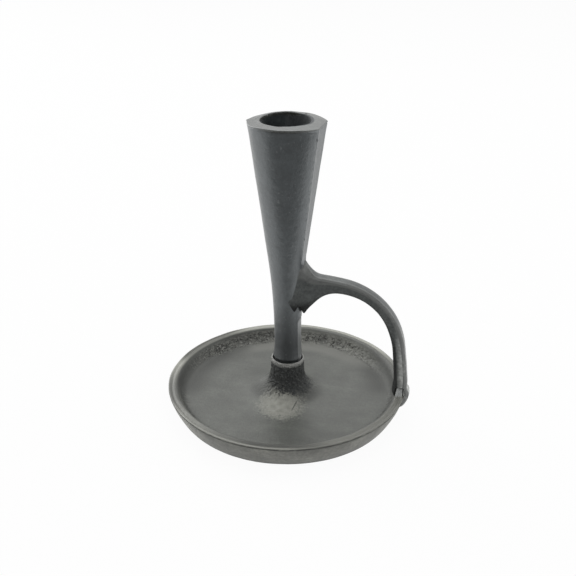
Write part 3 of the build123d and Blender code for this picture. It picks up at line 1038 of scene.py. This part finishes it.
def loop_finish():
    """Blacked iron of the loop: painted light on the leg, painted shade on its inner chamfer and in the
    hollow, worn outer chamfers.
    """
    skin = Finish("loop iron", loop_look, refraction=1.65, glance_tint=(0.96, 1.0, 0.99))
    math, band, span, noise, zone = skin.math, skin.band, skin.span, skin.noise, skin.zone
    off_leg = math("ADD", skin.x, math("MULTIPLY", skin.z, leg_slope))
    off_leg = math("SUBTRACT", off_leg, leg_reach)
    # Painted light on the leg's lit outer side
    zone(lit_leg_look, span(skin.z, 64, 24), span(off_leg, -2.2, 2.2))
    skin.vary(noise(4, 4), 0.35, 1.65)
    skin.vary(noise(1.2, 3), 0.2, 1.8)
    # Painted shade on the leg's inner chamfer
    zone(shaded_chamfer_look, span(skin.z, 46, 36), span(off_leg, -1.0, -1.6))
    # Painted shade in the hollow under the loop's root
    hollow = band(skin.z, root_low + 11 * mm, root_low + 6 * mm)
    zone(hollow_shade_look, hollow, span(skin.x, 14, 10))
    zone(loop_fleck_look, band(noise(0.9, 2), 0.66, 0.74))
    chamfer = band(skin.mark("edge"), 0.2, 0.5)
    zone(worn_chamfer_look, chamfer, band(noise(4, 3), 0.2, 0.5))
    skin.grain(noise(0.7, 4), 0.12)
    skin.grain(noise(2.5, 3), 0.2)
    return skin.done()


def zinc_finish():
    """Dull zinc plating of the screw and washers."""
    skin = Finish("zinc plate", zinc_look, refraction=1.5)
    skin.shader.inputs["Metallic"].default_value = 1.0
    skin.vary(skin.noise(2, 3), 0.9, 1.1)
    return skin.done()


def aimed(place, axis):
    """The turn that points an axis from a place to the middle of the chamberstick."""
    return (Vector(studio_middle) - Vector(place)).to_track_quat(axis, "Y").to_euler()


def add_lamp(name, size, radiance, place):
    """A soft square lamp of a given radiance, aimed at the middle of the chamberstick."""
    lamp = bpy.data.lights.new(name, "AREA")
    lamp.size = size
    lamp.energy = radiance * pi * size * size
    softbox = bpy.data.objects.new(name, lamp)
    bpy.context.scene.collection.objects.link(softbox)
    softbox.location = place
    softbox.rotation_euler = aimed(place, "-Z")


def add_card(name, width, height, shade, place, turn):
    """A card that the object mirrors and the camera doesn't see."""
    bpy.ops.mesh.primitive_plane_add(size=1, location=place, rotation=turn)
    card = bpy.context.object
    card.name = name
    card.scale = (width, height, 1)
    card.visible_camera = False
    card.visible_diffuse = False
    card.visible_shadow = False
    paint = bpy.data.materials.new(name)
    paint.use_nodes = True
    shader = paint.node_tree.nodes["Principled BSDF"]
    shader.inputs["Base Color"].default_value = (shade, shade, shade, 1)
    shader.inputs["Roughness"].default_value = 1.0
    card.data.materials.append(paint)


def seen_rays(tree):
    """1 for rays that the camera, a reflection or glass sends out, 0 for the light that falls on things."""
    path = tree.nodes.new("ShaderNodeLightPath")
    seen = path.outputs["Is Camera Ray"]
    for kind in ("Is Glossy Ray", "Is Transmission Ray"):
        either = tree.nodes.new("ShaderNodeMath")
        either.operation = "MAXIMUM"
        tree.links.new(seen, either.inputs[0])
        tree.links.new(path.outputs[kind], either.inputs[1])
        seen = either.outputs[0]
    return seen


def make_floor():
    """A white floor that keeps the object's shadow."""
    bpy.ops.mesh.primitive_plane_add(size=floor_size, location=(0, 0, 0))
    floor = bpy.context.object
    floor.name = "studio_floor"
    material = bpy.data.materials.new("white floor")
    material.use_nodes = True
    nodes, links = material.node_tree.nodes, material.node_tree.links
    nodes.clear()
    out = nodes.new("ShaderNodeOutputMaterial")
    paint = nodes.new("ShaderNodeBsdfDiffuse")
    paint.inputs["Color"].default_value = (floor_shade, floor_shade, floor_shade, 1)
    glow = nodes.new("ShaderNodeEmission")
    glow.inputs["Strength"].default_value = 1.0
    mix = nodes.new("ShaderNodeMixShader")
    share = nodes.new("ShaderNodeMath")
    share.operation = "MULTIPLY"
    share.inputs[1].default_value = floor_glow_share
    links.new(seen_rays(material.node_tree), share.inputs[0])
    links.new(share.outputs[0], mix.inputs["Fac"])
    links.new(paint.outputs[0], mix.inputs[1])
    links.new(glow.outputs[0], mix.inputs[2])
    links.new(mix.outputs[0], out.inputs["Surface"])
    floor.data.materials.append(material)


def make_world():
    """White surroundings for what is seen and mirrored, with a lower level for the light they give."""
    world = bpy.context.scene.world or bpy.data.worlds.new("studio")
    bpy.context.scene.world = world
    world.use_nodes = True
    nodes, links = world.node_tree.nodes, world.node_tree.links
    background = nodes["Background"]
    background.inputs["Color"].default_value = (1, 1, 1, 1)
    level = nodes.new("ShaderNodeMix")
    level.inputs["A"].default_value = world_light
    level.inputs["B"].default_value = world_seen
    links.new(seen_rays(world.node_tree), level.inputs["Factor"])
    links.new(level.outputs[0], background.inputs["Strength"])


def make_camera():
    """The camera that was fitted to the photograph."""
    camera = bpy.data.objects.new("photo_camera", bpy.data.cameras.new("photo_camera"))
    bpy.context.scene.collection.objects.link(camera)
    camera.data.lens = camera_lens
    camera.data.sensor_width = camera_sensor
    camera.location = camera_place
    level_x, level_y = -sin(camera_azimuth), cos(camera_azimuth)
    look = Vector((level_x * cos(camera_pitch), level_y * cos(camera_pitch), -sin(camera_pitch)))
    camera.rotation_mode = "QUATERNION"
    camera.rotation_quaternion = look.to_track_quat("-Z", "Y") @ Quaternion((0, 0, 1), camera_roll)
    bpy.context.scene.camera = camera


def make_studio():
    """Floor, three cards, four softboxes, white surroundings and the camera."""
    make_floor()
    upright, level = (radians(90), 0, camera_azimuth), (0, 0, camera_azimuth)
    upper_right = (0.83, -0.22, 0.75)
    add_card("dark_card_behind_camera", 3.6, 1.1, shade=0.02, place=(-0.05, -1.3, 0.55), turn=upright)
    add_card("grey_card_in_front", 2.0, 1.0, shade=0.3, place=(0.10, -0.585, 0.001), turn=level)
    facing = aimed(upper_right, "Z")
    add_card("dark_card_upper_right", 0.85, 0.85, shade=0.1, place=upper_right, turn=facing)
    add_lamp("softbox_overhead", size=1.3, radiance=1.5, place=(-0.15, 0.4, 1.1))
    add_lamp("softbox_front_right", size=1.0, radiance=1.4, place=(0.9, -1.1, 0.8))
    add_lamp("softbox_left", size=1.3, radiance=1.9, place=(-1.3, 0.75, 0.6))
    add_lamp("softbox_right", size=1.3, radiance=1.0, place=(1.5, 0.6, 0.6))
    make_world()
    bpy.context.scene.view_settings.view_transform = "Standard"
    make_camera()


make_drip_tray(tray_finish())
make_candle_stem(stem_finish())
make_finger_loop(loop_finish())
zinc = zinc_finish()
for fastener in ("stem_screw", "spring_washer", "plain_washer"):
    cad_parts[fastener].data.materials.clear()
    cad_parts[fastener].data.materials.append(zinc)
make_studio()
